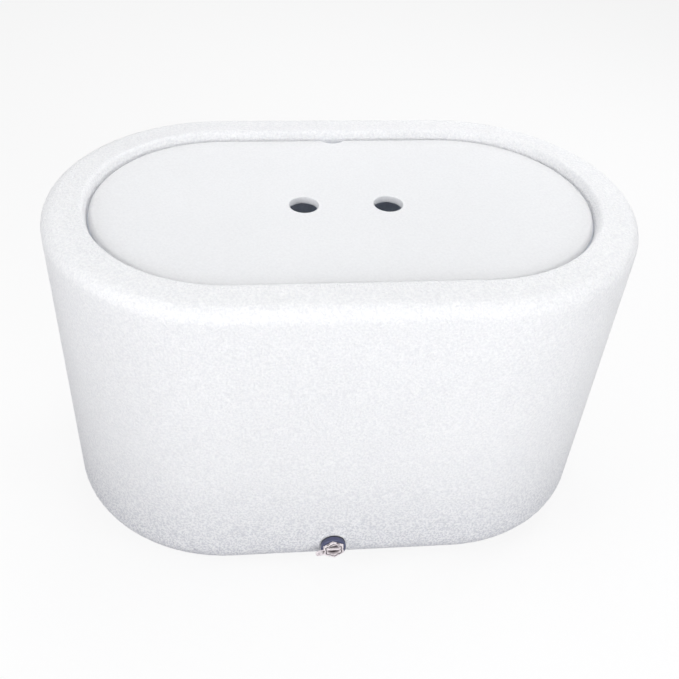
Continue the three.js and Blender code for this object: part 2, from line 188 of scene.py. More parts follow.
# Outer shell. One skin of rotomoulded polyethylene with a broad rim, a recess for the lid, a
# ledge under it that the liner hangs on, and a flat boss low on the front for the drain. Its
# surface has the mould's fine pebble.
shell_low, shell_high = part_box("outer_shell")
gasket_low, gasket_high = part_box("drain_outer_gasket")
seat_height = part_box("lid")[0].z
touch = 0.001 * mm
fit = 0.3 * mm
skin = 4.5 * mm
half_straight = (shell_high.x - shell_low.x - shell_high.y + shell_low.y) / 2
tank_height = 425.47 * mm
shoulder_radius = 215.48 * mm
foot_radius = 195 * mm
rim_slope = 4.2 * mm
rim_inner_radius = 167.3 * mm
recess_radius = 161.7 * mm
liner_radius = 147.1 * mm
ledge_height = seat_height - skin - fit
foot_fillet = 38 * mm
shoulder_fillet = 18 * mm
crest_fillet = 5 * mm
recess_fillet = 1.2 * mm
drain_x = (gasket_low.x + gasket_high.x) / 2
drain_z = (gasket_low.z + gasket_high.z) / 2
boss_face = -gasket_high.y - fit
boss_depth = 10.3 * mm
boss_radius = 19 * mm
boss_flare = 3 * mm
drain_hole_radius = 12.8 * mm
hole_overrun = 5 * mm
port_offset = 95 * mm
port_radius = 12 * mm
port_lip = 4 * mm
port_lip_thickness = 1.7 * mm
shell_columns = 24
boss_reach = 27 * mm
boss_step = 1.2 * mm
outside_step = 2.5 * mm
inside_step = 5 * mm


def rounded(corners, step=6 * mm, arc_step=radians(5)):
    """A section's points. Each corner is (r, z, radius): between corners the points run straight,
    and a corner with a radius is an arc about the point on its bisector at radius / sin(half
    angle), from one tangent point to the other."""
    nodes = [np.array(corner[:2], float) for corner in corners]
    pieces = [nodes[0][None]]
    for back, here, forth, corner in zip(nodes, nodes[1:], nodes[2:], corners[1:]):
        radius = corner[2]
        if radius == 0:
            pieces.append(here[None])
            continue
        back = (back - here) / np.linalg.norm(back - here)
        forth = (forth - here) / np.linalg.norm(forth - here)
        half = np.arccos(np.clip(back @ forth, -1, 1)) / 2
        middle = (back + forth) / np.linalg.norm(back + forth)
        centre = here + middle * radius / np.sin(half)
        start = here + back * radius / np.tan(half) - centre
        end = here + forth * radius / np.tan(half) - centre
        sweep = np.arctan2(start[0] * end[1] - start[1] * end[0], start @ end)
        turn = np.linspace(0, sweep, max(3, int(abs(sweep) / arc_step) + 2))[:, None]
        square = np.array([-start[1], start[0]])
        pieces.append(centre + start * np.cos(turn) + square * np.sin(turn))
    pieces.append(nodes[-1][None])
    filled = [pieces[0]]
    for before, after in zip(pieces, pieces[1:]):
        count = int(np.linalg.norm(after[0] - before[-1]) / step) + 2
        filled += [np.linspace(before[-1], after[0], count)[1:-1], after]
    return np.concatenate(filled)


def inset(corners, wall):
    """The same section moved to its left by a wall: each side is moved square to itself, the
    sides are met again, and the arcs keep their centres."""
    nodes = np.array([corner[:2] for corner in corners], float)
    runs = np.diff(nodes, axis=0)
    runs /= np.linalg.norm(runs, axis=1)[:, None]
    left = np.column_stack([-runs[:, 1], runs[:, 0]]) * wall
    bend = runs[:-1, 0] * runs[1:, 1] - runs[:-1, 1] * runs[1:, 0]
    gap = left[1:] - left[:-1]
    reach = (gap[:, 0] * runs[1:, 1] - gap[:, 1] * runs[1:, 0]) / bend
    places = nodes[1:-1] + left[:-1] + runs[:-1] * reach[:, None]
    radii = np.array([corner[2] for corner in corners[1:-1]])
    radii = np.where(radii > 0, np.maximum(radii - np.sign(bend) * wall, 0), 0)
    ends = [(*(nodes[0] + left[0]), 0)], [(*(nodes[-1] + left[-1]), 0)]
    return [*ends[0], *((*place, radius) for place, radius in zip(places, radii)), *ends[1]]


def finer(values, middle, reach, step):
    """The same rising numbers, with the stretch within reach of the middle in small steps."""
    low, high = middle - reach, middle + reach
    fine = np.arange(low, high + step / 2, step)
    return np.concatenate([values[values < low - step], fine, values[values > high + step]])


def carried(section, straight, turns=40):
    """A section (r, z) carried round the oval: x = centre + r cos a, y = r sin a, with the centre
    going along the straight sides at a = -90 and 90 degrees and standing still at the ends."""
    end = np.linspace(-pi / 2, pi / 2, turns + 1)[1:-1]
    still = np.full(len(end), half_straight)
    side = np.full(len(straight), pi / 2)
    centre = np.concatenate([straight, still, straight[::-1], -still])[:, None]
    angle = np.concatenate([-side, end, side, end + pi])[:, None]
    r, z = section.T
    return np.stack([centre + r * np.cos(angle), r * np.sin(angle), z + 0 * angle], axis=-1)


def surface(name, grid):
    """A mesh over a grid, (points, closed along rows, closed along columns), with one quad to
    each cell. Points that lie on each other become one, and the faces are turned outwards."""
    points, close_rows, close_columns = grid
    rows, columns = points.shape[:2]
    index = np.arange(rows * columns).reshape(rows, columns)
    if close_rows:
        index = np.vstack([index, index[:1]])
    if close_columns:
        index = np.hstack([index, index[:, :1]])
    quads = np.stack([index[:-1, :-1], index[1:, :-1], index[1:, 1:], index[:-1, 1:]], axis=-1)
    mesh = bpy.data.meshes.new(name)
    mesh.from_pydata(points.reshape(-1, 3), [], quads.reshape(-1, 4))
    build = bmesh.new()
    build.from_mesh(mesh)
    bmesh.ops.remove_doubles(build, verts=build.verts, dist=touch)
    bmesh.ops.dissolve_degenerate(build, edges=build.edges, dist=touch)
    bmesh.ops.recalc_face_normals(build, faces=build.faces)
    build.to_mesh(mesh)
    build.free()
    return mesh


def combined(mesh, operation, *others):
    """The mesh with each other closed mesh cut out of it or joined to it."""
    base = bpy.data.objects.new(mesh.name, mesh)
    tools = [bpy.data.objects.new("tool", other) for other in others]
    for extra in (base, *tools):
        scene.collection.objects.link(extra)
    for tool in tools:
        step = base.modifiers.new("step", "BOOLEAN")
        step.operation = operation
        step.solver = "EXACT"
        step.object = tool
    view = bpy.context.evaluated_depsgraph_get()
    result = bpy.data.meshes.new_from_object(base.evaluated_get(view))
    for extra in (base, *tools):
        bpy.data.objects.remove(extra)
    result.name = mesh.name
    return result


def assembled(name, mesh, body, material, node, sharp=radians(38)):
    """Puts a finished mesh in the scene in place of a CAD node, riding on the node's body."""
    mesh.materials.clear()
    mesh.materials.append(material)
    mesh.shade_smooth()
    mesh.set_sharp_from_angle(angle=sharp)
    piece = bpy.data.objects.new(name, mesh)
    scene.collection.objects.link(piece)
    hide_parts(node)
    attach(piece, body)


def turned(section, count=64, ring=True):
    """A section (r, z) turned about the Z axis: (r cos a, r sin a, z). A closed section makes a
    ring, and an open one starts and ends on the axis."""
    angle = np.linspace(0, 2 * pi, count, endpoint=False)[:, None]
    r, z = section.T
    return np.stack([r * np.cos(angle), r * np.sin(angle), z + 0 * angle], axis=-1), True, ring


def moved(grid, *offset):
    """The same grid moved by an offset in x, y and z."""
    points, *closed = grid
    return points + offset, *closed


def along_drain(grid):
    """Lays a shape drawn along +Z along the drain, whose +Z points out of the front wall."""
    points, *closed = grid
    x, y, z = np.moveaxis(points, -1, 0)
    return np.stack([drain_x + x, -boss_face - z, drain_z + y], axis=-1), *closed


def cutter(*steps):
    """A stepped round cutter along Z. Each step is (radius, level), and it closes on the axis."""
    return turned(np.array([(0, steps[0][1]), *steps, (0, steps[-1][1])]), ring=False)


tint_a, tint_b, tint_result = 6, 7, 2  # a Mix node's colour sockets
noise_ranges = {"pits": (0.64, 0.36), "clouds": (0.35, 0.65), "gloss": (0.3, 0.7)}


def skin_group():
    """Moulded surface. Pebble is soft noise the size of the mould's pebbles and grain is finer
    noise: their mix is the height, and its low spots take the pit colour. Clouds are slow noise
    that shifts the colour and the gloss a little. Each range is the noise that gives 0 and 1."""
    group = bpy.data.node_groups.new("moulded_skin", "ShaderNodeTree")
    inputs = {"Colour": "Color", "Pit Colour": "Color"}
    inputs |= dict.fromkeys(("Pebble Scale", "Grain Scale", "Cloud Scale"), "Float")
    inputs |= dict.fromkeys(("Grain Share", "Cloud Share"), "Float")
    inputs |= dict.fromkeys(("Smooth Roughness", "Rough Roughness"), "Float")
    outputs = {"Colour": "Color", "Roughness": "Float", "Height": "Float"}
    for way, sockets in (("INPUT", inputs), ("OUTPUT", outputs)):
        for name, kind in sockets.items():
            group.interface.new_socket(name, in_out=way, socket_type="NodeSocket" + kind)
    new = group.nodes.new
    entry, leave, place = new("NodeGroupInput"), new("NodeGroupOutput"), new("ShaderNodeTexCoord")
    noises = {}
    for name, detail in (("Pebble", 1), ("Grain", 2), ("Cloud", 3)):
        noises[name] = new("ShaderNodeTexNoise")
        noises[name].inputs["Detail"].default_value = detail
        wired(
            group,
            (place, "Object", noises[name], "Vector"),
            (entry, name + " Scale", noises[name], "Scale"),
        )
    ranges = {}
    for name, (low, high) in noise_ranges.items():
        ranges[name] = new("ShaderNodeMapRange")
        ranges[name].inputs["From Min"].default_value = low
        ranges[name].inputs["From Max"].default_value = high
    height, tone, tint = (new("ShaderNodeMix") for _ in range(3))
    tint.data_type = "RGBA"
    wired(
        group,
        (entry, "Grain Share", height, "Factor"),
        (noises["Pebble"], "Fac", height, "A"),
        (noises["Grain"], "Fac", height, "B"),
        (height, "Result", ranges["pits"], "Value"),
        (noises["Cloud"], "Fac", ranges["clouds"], "Value"),
        (entry, "Cloud Share", tone, "Factor"),
        (ranges["pits"], "Result", tone, "A"),
        (ranges["clouds"], "Result", tone, "B"),
        (tone, "Result", tint, "Factor"),
        (entry, "Colour", tint, tint_a),
        (entry, "Pit Colour", tint, tint_b),
        (noises["Cloud"], "Fac", ranges["gloss"], "Value"),
        (entry, "Smooth Roughness", ranges["gloss"], "To Min"),
        (entry, "Rough Roughness", ranges["gloss"], "To Max"),
        (tint, tint_result, leave, "Colour"),
        (ranges["gloss"], "Result", leave, "Roughness"),
        (height, "Result", leave, "Height"),
    )
    return group


moulded_skin = skin_group()


def moulded(name, colour, pits, scales, shares, gloss, bump_depth, **fixed):
    """A moulded material: the group's colour, roughness and height, with a bump of that depth.
    Scales are pebble, grain and cloud, shares are grain and cloud, and gloss is the smoothest
    and the roughest. Fixed values go on the shader's own sockets."""
    material = bpy.data.materials.new(name)
    material.use_nodes = True
    tree = material.node_tree
    finish = tree.nodes["Principled BSDF"]
    group = tree.nodes.new("ShaderNodeGroup")
    group.node_tree = moulded_skin
    values = ((*colour, 1), (*pits, 1), *scales, *shares, *gloss)
    for entry, value in zip(group.inputs, values):
        entry.default_value = value
    bump = tree.nodes.new("ShaderNodeBump")
    bump.inputs["Distance"].default_value = bump_depth
    for entry, value in fixed.items():
        finish.inputs[entry.replace("_", " ")].default_value = value
    wired(
        tree,
        (group, "Colour", finish, "Base Color"),
        (group, "Roughness", finish, "Roughness"),
        (group, "Height", bump, "Height"),
        (bump, "Normal", finish, "Normal"),
    )
    return material


def shaded_over(material, mask, output, shade_colour):
    """Mixes a painted shade colour over the material's own colour, by the mask that a node puts
    out.
    """
    tree = material.node_tree
    shade_mix = tree.nodes.new("ShaderNodeMix")
    shade_mix.data_type = "RGBA"
    shade_mix.inputs[tint_b].default_value = (*shade_colour, 1)
    wired(
        tree,
        (tree.nodes["Group"], "Colour", shade_mix, tint_a),
        (mask, output, shade_mix, "Factor"),
        (shade_mix, tint_result, tree.nodes["Principled BSDF"], "Base Color"),
    )


waxy = {"Subsurface_Weight": 0.1, "Subsurface_Scale": 2 * mm, "Subsurface_Radius": (1, 1, 1)}
polyethylene = moulded(
    "white_polyethylene",
    colour=(0.95, 0.952, 0.96),
    pits=(0.82, 0.825, 0.85),
    scales=(360, 900, 7),
    shares=(0.42, 0.1),
    gloss=(0.5, 0.6),
    bump_depth=2.2 * mm,
    **waxy,
)

# Painted shade on the shell: a dark blue-grey colour that stands in for the light falling off on
# the lower wall. It is strongest in the pebble's low spots, and grows from nothing at its height to
# its most at the foot.
foot_shade_colour = (0.42, 0.43, 0.5)
foot_shade_height = 200 * mm
foot_shade_thin_share = 0.1
foot_shade_thick_share = 0.8
foot_shade_thin_pebble = 0.55
foot_shade_thick_pebble = 0.42
tree = polyethylene.node_tree
place = tree.nodes.new("ShaderNodeTexCoord")
split = tree.nodes.new("ShaderNodeSeparateXYZ")
fall = tree.nodes.new("ShaderNodeMapRange")
fall.inputs["From Min"].default_value = foot_shade_height
fall.inputs["From Max"].default_value = 0
hollows = tree.nodes.new("ShaderNodeMapRange")
hollows.inputs["From Min"].default_value = foot_shade_thin_pebble
hollows.inputs["From Max"].default_value = foot_shade_thick_pebble
hollows.inputs["To Min"].default_value = foot_shade_thin_share
hollows.inputs["To Max"].default_value = foot_shade_thick_share
foot_shade_curve = tree.nodes.new("ShaderNodeMath")
foot_shade_curve.operation = "MULTIPLY"
foot_shade = tree.nodes.new("ShaderNodeMath")
foot_shade.operation = "MULTIPLY"
wired(
    tree,
    (place, "Object", split, "Vector"),
    (split, "Z", fall, "Value"),
    (tree.nodes["Group"], "Height", hollows, "Value"),
    (fall, "Result", foot_shade_curve, 0),
    (fall, "Result", foot_shade_curve, 1),
    (foot_shade_curve, 0, foot_shade, 0),
    (hollows, "Result", foot_shade, 1),
)
# The dark colour mixed in here is painted shade, darker towards the foot.
shaded_over(polyethylene, foot_shade, 0, foot_shade_colour)

shell_corners = [
    (0, 0, 0),
    (foot_radius, 0, foot_fillet),
    (shoulder_radius, tank_height - rim_slope, shoulder_fillet),
    (rim_inner_radius, tank_height, crest_fillet),
    (recess_radius, seat_height, recess_fillet),
    (recess_radius, ledge_height, 0),
    (liner_radius + skin + fit, ledge_height, 0),
]


def shell_face(corners, plane, step):
    """Points of one face of the shell, close together where the drain's boss is, and pushed to
    the boss's plane within its radius by a smooth step as wide as its flare."""
    columns = np.linspace(-half_straight, half_straight, shell_columns)
    front = finer(columns, drain_x, boss_reach, boss_step)
    points = carried(rounded(corners, step), front)
    away = np.hypot(points[..., 0] - drain_x, points[..., 2] - drain_z)
    near = np.clip((boss_radius + boss_flare - away) / boss_flare, 0, 1)
    near = np.where(points[..., 1] < -liner_radius, near * near * (3 - 2 * near), 0)
    points[..., 1] += near * (-plane - points[..., 1])
    return points


outside = shell_face(shell_corners, boss_face, outside_step)
inside = shell_face(inset(shell_corners, skin), boss_face - boss_depth, inside_step)
shell_mesh = surface("shell", (np.concatenate([outside, inside[:, ::-1]], axis=1), True, False))
wide, narrow = port_radius + port_lip + fit, port_radius + fit
port_step, port_top = port_lip_thickness + 2 * fit, skin + hole_overrun
port = cutter((wide, -hole_overrun), (wide, port_step), (narrow, port_step), (narrow, port_top))
hole_ends = (-boss_depth - hole_overrun, hole_overrun)
drain_hole = cutter(*((drain_hole_radius, level) for level in hole_ends))
holes = [along_drain(drain_hole), moved(port, -port_offset, 0, 0), moved(port, port_offset, 0, 0)]
shell_mesh = combined(shell_mesh, "DIFFERENCE", *(surface("hole", hole) for hole in holes))
assembled("shell", shell_mesh, "tank", polyethylene, "outer_shell")

# Liner. A second moulding of polyethylene that hangs on the ledge by its lip. Its greyer, bluer
# white is painted shade: it stands in for the blue-grey cast of the shade inside the tub.
# Its floor and front wall run out into a niche with a flat front and a sunken floor, where the
# drain goes through.
liner_draft = 10 * mm
floor_height = 30 * mm
liner_floor_radius = liner_radius - liner_draft
floor_fillet = 30 * mm
niche_width = 62 * mm
niche_front = -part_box("drain_inner_gasket")[0].y - fit
niche_back = 59.05 * mm
niche_floor = 18.47 * mm
niche_roof = 65 * mm
niche_corner = 10 * mm
niche_edge = 1.2 * mm
niche_blend = 5 * mm
niche_eye = (drain_x, -106.5 * mm, 45.5 * mm)
niche_reach = (62 * mm, 76 * mm, 60 * mm)
liner_columns = 30
niche_columns_reach = 42 * mm
niche_step = 1.5 * mm
liner_step = 3 * mm
liner_arc_step = radians(3)
liner_corners = [
    (recess_radius - fit, seat_height, 0),
    (liner_radius, seat_height, skin),
    (liner_floor_radius, floor_height, floor_fillet),
    (0, floor_height, 0),
]


def soft_corner(a, b, radius):
    """Distance to the meeting of two walls whose distances are a and b, with a round edge."""
    outside_both = np.hypot(np.maximum(a + radius, 0), np.maximum(b + radius, 0))
    return outside_both + np.minimum(np.maximum(a + radius, b + radius), 0) - radius


def tub_distance(points):
    """Signed distance to the space inside the liner with its niche: negative inside. The tub is
    an oval cone with a round foot, the niche a box with round corners, and where they meet the
    smaller distance is softened over the blend width."""
    x, y, z = np.moveaxis(points, -1, 0)
    r = np.hypot(np.maximum(np.abs(x) - half_straight, 0), y)
    slope = liner_draft / (seat_height - floor_height)
    wall = (r - liner_floor_radius - slope * (z - floor_height)) / sqrt(1 + slope**2)
    tub = soft_corner(wall, floor_height - z, floor_fillet)
    over_x = np.abs(x - drain_x) - niche_width / 2
    over_y = np.abs(y + (niche_front + niche_back) / 2) - (niche_front - niche_back) / 2
    over_z = np.abs(z - (niche_floor + niche_roof) / 2) - (niche_roof - niche_floor) / 2
    niche = soft_corner(soft_corner(over_x, over_y, niche_corner), over_z, niche_edge)
    mixed = np.clip(1 / 2 + (niche - tub) / (2 * niche_blend), 0, 1)
    return niche * (1 - mixed) + tub * mixed - niche_blend * mixed * (1 - mixed)


def liner_face(corners, wall, marches=60, pace=0.9):
    """Points of one face of the liner, close together at the niche. Those that lie in the niche
    move out along rays from a point inside it, each time by a little less than their distance
    to its wall, until they lie on the wall."""
    columns = np.linspace(-half_straight, half_straight, liner_columns)
    front = finer(columns, drain_x, niche_columns_reach, niche_step)
    points = carried(rounded(corners, liner_step, liner_arc_step), front)
    near = np.all(np.abs(points - niche_eye) < niche_reach, axis=-1)
    place = points[near]
    ray = place - niche_eye
    ray /= np.linalg.norm(ray, axis=1)[:, None]
    for _ in range(marches):
        place = place + ray * np.maximum(wall - tub_distance(place), 0)[:, None] * pace
    points[near] = place
    return points


inside = liner_face(liner_corners, 0)
outside = liner_face(inset(liner_corners, skin), skin)
liner_mesh = surface("liner", (np.concatenate([inside[:, ::-1], outside], axis=1), True, False))
wall_stack = boss_face - niche_front
hole_ends = (-wall_stack - hole_overrun, -wall_stack + skin + hole_overrun)
hole = cutter(*((drain_hole_radius, level) for level in hole_ends))
liner_mesh = combined(liner_mesh, "DIFFERENCE", surface("hole", along_drain(hole)))
# Painted shade: this copy of the white polyethylene is greyer and bluer, for the shade inside the
# tub.
shade_tinted_polyethylene = moulded(
    "shade_tinted_white_polyethylene",
    colour=(0.87, 0.905, 0.965),
    pits=(0.78, 0.82, 0.9),
    scales=(360, 900, 7),
    shares=(0.35, 0.12),
    gloss=(0.45, 0.55),
    bump_depth=0.8 * mm,
)
assembled("liner", liner_mesh, "tank", shade_tinted_polyethylene, "inner_tub")

# Insulation. Cream foam poured between the skins, which it fills. It keeps its CAD solid,
# because both skins hide it.
foam = moulded(
    "cream_foam",
    colour=(0.8, 0.7, 0.42),
    pits=(0.58, 0.46, 0.24),
    scales=(260, 900, 14),
    shares=(0.5, 0.4),
    gloss=(0.8, 0.95),
    bump_depth=1.2 * mm,
)
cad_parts["insulation_foam"].data.materials.clear()
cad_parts["insulation_foam"].data.materials.append(foam)

# Foam port plugs. Two white nylon caps pressed into the base once the foam has set. Each has a
# shallow dished head with a round edge, sunk flush with the base.
white_nylon = moulded(
    "white_nylon",
    colour=(0.86, 0.8, 0.82),
    pits=(0.76, 0.68, 0.71),
    scales=(700, 2400, 60),
    shares=(0.4, 0.4),
    gloss=(0.28, 0.42),
    bump_depth=0.08 * mm,
    Coat_Weight=0.1,
)
dish_depth = 0.6 * mm
dish_radius = 7 * mm
dish_rim = 8.5 * mm
dish_edge = 1 * mm
lip_edge = 0.6 * mm
lip_back_edge = 0.4 * mm
root_edge = 0.2 * mm
end_edge = 0.8 * mm
for side, node, name in ((-1, "foam_fill_plug", "fill_plug"), (1, "foam_vent_plug", "vent_plug")):
    low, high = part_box(node)
    step_level = low.z + port_lip_thickness
    section = rounded(
        [
            (0, low.z + dish_depth, 0),
            (dish_radius, low.z + dish_depth, dish_edge),
            (dish_rim, low.z, dish_edge),
            (port_radius + port_lip, low.z, lip_edge),
            (port_radius + port_lip, step_level, lip_back_edge),
            (port_radius, step_level, root_edge),
            (port_radius, high.z, end_edge),
            (0, high.z, 0),
        ],
        step=2 * mm,
        arc_step=radians(15),
    )
    mesh = surface(name, moved(turned(section, ring=False), side * port_offset, 0, 0))
    assembled(name, mesh, "tank", white_nylon, node)

# Drain body. A slate-coloured nylon tube with a collar outside, a coarse thread for the locknut,
# a smooth inner end for the elbow, and a finer thread inside its mouth for the plug.
drain_low, drain_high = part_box("drain_body")
tube_radius = 12.5 * mm
collar_radius = 15.9 * mm
bore_radius = 9.3 * mm
collar_back = 2.1 * mm
collar_front = -drain_low.y - boss_face
tube_inner_end = -drain_high.y - boss_face
seal_section = 1.6 * mm
seal_floor = collar_front - seal_section
plug_thread_radius = 10.4 * mm
plug_thread_length = 11 * mm
plug_pitch = 1.814 * mm
mouth_radius = plug_thread_radius + fit
mouth_floor = collar_front - plug_thread_length - fit
nut_back = -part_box("drain_locknut")[1].y - boss_face
nut_pitch = 2.5 * mm
nut_runout = 1.2 * nut_pitch
thread_share = 0.55
thread_flat = 1 / 6
rows_a_pitch = 9
drain_columns = 72
mould_edge = 0.4 * mm
collar_edge = 1.6 * mm
mouth_edge = 0.3 * mm
bore_edge = 0.5 * mm


def threaded(grid, crest, pitch, low, high):
    """Cuts a right-hand thread into the stretch of a turned grid that lies on the crest radius
    between two levels: there the radius drops by a ramp of z / pitch - turns, with a flat crest
    and a flat root, and the drop fades out over a pitch at both ends."""
    points, *closed = grid
    x, y, z = np.moveaxis(points, -1, 0)
    r = np.hypot(x, y)
    phase = (z / pitch - np.arctan2(y, x) / (2 * pi)) % 1
    ramp = np.clip((np.abs(phase - 1 / 2) - thread_flat / 2) / (1 / 2 - thread_flat), 0, 1)
    fade = np.clip((z - low) / pitch, 0, 1) * np.clip((high - z) / pitch, 0, 1)
    drop = np.where(np.abs(r - crest) < touch, thread_share * pitch * ramp * fade, 0)
    scale = 1 - drop / np.maximum(r, touch)
    return np.stack([x * scale, y * scale, z], axis=-1), *closed


def loop(corners, step, arc_step=radians(15)):
    """A closed section, which starts and ends halfway between its last corner and its first."""
    middle = (np.array(corners[0][:2]) + corners[-1][:2]) / 2
    return rounded([(*middle, 0), *corners, (*middle, 0)], step, arc_step)[:-1]


slate_nylon = moulded(
    "slate_nylon",
    colour=(0.075, 0.082, 0.16),
    pits=(0.04, 0.045, 0.1),
    scales=(500, 2200, 90),
    shares=(0.5, 0.5),
    gloss=(0.3, 0.5),
    bump_depth=0.12 * mm,
)
drain_section = loop(
    [
        (bore_radius, tube_inner_end, bore_edge),
        (tube_radius, tube_inner_end, 1 * mm),
        (tube_radius, collar_back, 0),
        (collar_radius, collar_back, mould_edge),
        (collar_radius, collar_front, collar_edge),
        (plug_thread_radius + seal_section + fit, collar_front, mouth_edge),
        (plug_thread_radius + seal_section + fit, seal_floor, 0),
        (mouth_radius, seal_floor, 0),
        (mouth_radius, mouth_floor, 0),
        (bore_radius, mouth_floor, 0),
    ],
    step=plug_pitch / rows_a_pitch,
)
grid = turned(drain_section, drain_columns)
grid = threaded(grid, tube_radius, nut_pitch, nut_back - nut_runout, collar_back - nut_pitch)
grid = threaded(grid, mouth_radius, plug_pitch, mouth_floor, seal_floor)
drain_mesh = surface("drain", along_drain(grid))
assembled("drain", drain_mesh, "tank", slate_nylon, "drain_body")

# Drain gaskets, washer and spacer. Black rubber rings seal both sides of the wall, a nylon
# washer lets the nut slide on the inner one, and a nylon tube carries the clamping load.
black_rubber = moulded(
    "black_rubber",
    colour=(0.035, 0.035, 0.04),
    pits=(0.018, 0.018, 0.02),
    scales=(900, 3000, 80),
    shares=(0.5, 0.5),
    gloss=(0.6, 0.78),
    bump_depth=0.08 * mm,
)
for name, node, slot, material, edge in (
    ("outer_gasket", "drain_outer_gasket", "black_rubber", black_rubber, 0.5 * mm),
    ("inner_gasket", "drain_inner_gasket", "black_rubber", black_rubber, 0.7 * mm),
    ("nut_washer", "drain_washer", "white_nylon", white_nylon, 0.3 * mm),
    ("spacer", "drain_sleeve", "white_nylon", white_nylon, 0.4 * mm),
):
    low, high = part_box(node)
    outer = (high.x - low.x) / 2
    back, front = -high.y - boss_face, -low.y - boss_face
    section = loop(
        [
            (outer, back, edge),
            (outer, front, edge),
            (drain_hole_radius, front, root_edge),
            (drain_hole_radius, back, root_edge),
        ],
        step=3 * mm,
    )
    mesh = surface(name, along_drain(turned(section, drain_columns)))
    assembled(name, mesh, "tank", material, node)

# Locknut. A slate nylon hexagon with both faces chamfered round, run up the thread against the
# washer.
nut_flats = 34 * mm
nut_thickness = 8 * mm
nut_front = nut_back + nut_thickness
nut_chamfer = radians(30)
chamfer_start_share = 1.02
nut_edge = 1.2 * mm
nut_levels = 11
hexagon_columns = 144
sides_turn = pi / 6


def hexagon_reach(flats, angle, edge):
    """Distance from a hexagon's middle to its side at each angle, with a corner at 90 degrees.
    A small circle in each corner, of the edge's radius, rounds it."""
    turn = (angle - pi / 2) % (2 * sides_turn) - sides_turn
    place = (flats / 2 - edge) / cos(sides_turn)
    off = np.abs(turn) - sides_turn
    under = np.maximum(edge**2 - (place * np.sin(off)) ** 2, 0)
    return np.minimum(flats / 2 / np.cos(turn), place * np.cos(off) + np.sqrt(under))


angle = np.linspace(0, 2 * pi, hexagon_columns, endpoint=False)[:, None]
levels = np.linspace(nut_back, nut_front, nut_levels)
cone = nut_flats / 2 * chamfer_start_share
cone = cone + np.minimum(levels - nut_back, nut_front - levels) / tan(nut_chamfer)
r = np.minimum(hexagon_reach(nut_flats, angle, nut_edge), cone)
sides = np.stack([r * np.cos(angle), r * np.sin(angle), levels + 0 * angle], axis=-1)
rows = np.arange(nut_front, nut_back - touch, -nut_pitch / rows_a_pitch)
hole_rows = np.column_stack([np.full(len(rows), drain_hole_radius), rows])
hole = turned(hole_rows, hexagon_columns)
hole = threaded(hole, drain_hole_radius, nut_pitch, nut_back - nut_pitch, nut_front + nut_pitch)
nut_mesh = surface("locknut", along_drain((np.concatenate([sides, hole[0]], axis=1), True, True)))
assembled(
    "locknut", nut_mesh, "tank", slate_nylon, "drain_locknut", sharp=radians(25)
)

# Drain plug. White nylon: a hexagonal head with a groove round its face, a round recess with a
# finger bar across it, a threaded shank, and a small eye at its lower left that takes a cord.
plug_back = collar_front + fit
plug_front = -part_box("drain_plug")[0].y - boss_face
plug_flats = 25.4 * mm
plug_turn = radians(7)
plug_edge = 0.7 * mm
plug_edge_rows = 5
plug_back_edge = 0.2 * mm
groove_edge = 0.15 * mm
groove_depth = 1.1 * mm
groove_outer_share = 0.82
groove_inner_share = 0.72
cup_radius = 8 * mm
cup_depth = 7 * mm
cup_edge = 0.5 * mm
cup_draft = 0.3 * mm
cup_shoulder = 0.7 * mm
cup_floor = plug_front - cup_depth
shank_end = plug_back - plug_thread_length
thread_root = plug_thread_radius - thread_share * plug_pitch
angle = np.linspace(0, 2 * pi, hexagon_columns, endpoint=False)[:, None]
reach = hexagon_reach(plug_flats, angle - plug_turn, 1 * mm)


def hexagon_rows(stops):
    """Rows of a hexagonal face: each stop is (share of the hexagon's reach, inset, level)."""
    share, drawn, z = np.array(stops).T
    r = reach * share - drawn
    return np.stack([r * np.cos(angle), r * np.sin(angle), z + 0 * angle], axis=-1)


rows = np.arange(shank_end, plug_back, plug_pitch / rows_a_pitch)
shank_rows = np.column_stack([np.full(len(rows), plug_thread_radius), rows])
shank = turned(np.concatenate([[(0, shank_end)], shank_rows]), hexagon_columns)
low, high = shank_end - plug_pitch, plug_back - seal_section
points = threaded(shank, plug_thread_radius, plug_pitch, low, high)[0]
lead = thread_root + points[..., 2:] - shank_end
width = np.linalg.norm(points[..., :2], axis=-1, keepdims=True)
points[..., :2] *= np.minimum(1, lead / np.maximum(width, touch))
bend = np.linspace(0, pi / 2, plug_edge_rows)
edge_rows = [(1, plug_edge * (1 - cos(t)), plug_front - plug_edge * (1 - sin(t))) for t in bend]
groove_floor = plug_front - groove_depth
head = hexagon_rows(
    [
        (1, plug_back_edge, plug_back),
        (1, 0, plug_back + plug_back_edge),
        *edge_rows,
        (groove_outer_share, -groove_edge, plug_front),
        (groove_outer_share, 0, plug_front - groove_edge),
        (groove_outer_share, 0, groove_floor),
        (groove_inner_share, 0, groove_floor),
        (groove_inner_share, 0, plug_front - groove_edge),
        (groove_inner_share, groove_edge, plug_front),
    ]
)
cup = rounded(
    [
        (cup_radius + cup_shoulder, plug_front, 0),
        (cup_radius, plug_front, cup_edge),
        (cup_radius - cup_draft, cup_floor, 1 * mm),
        (0, cup_floor, 0),
    ],
    step=1 * mm,
    arc_step=radians(15),
)
points = np.concatenate([points, head, turned(cup, hexagon_columns)[0]], axis=1)
plug_mesh = surface("plug", along_drain((points, True, False)))


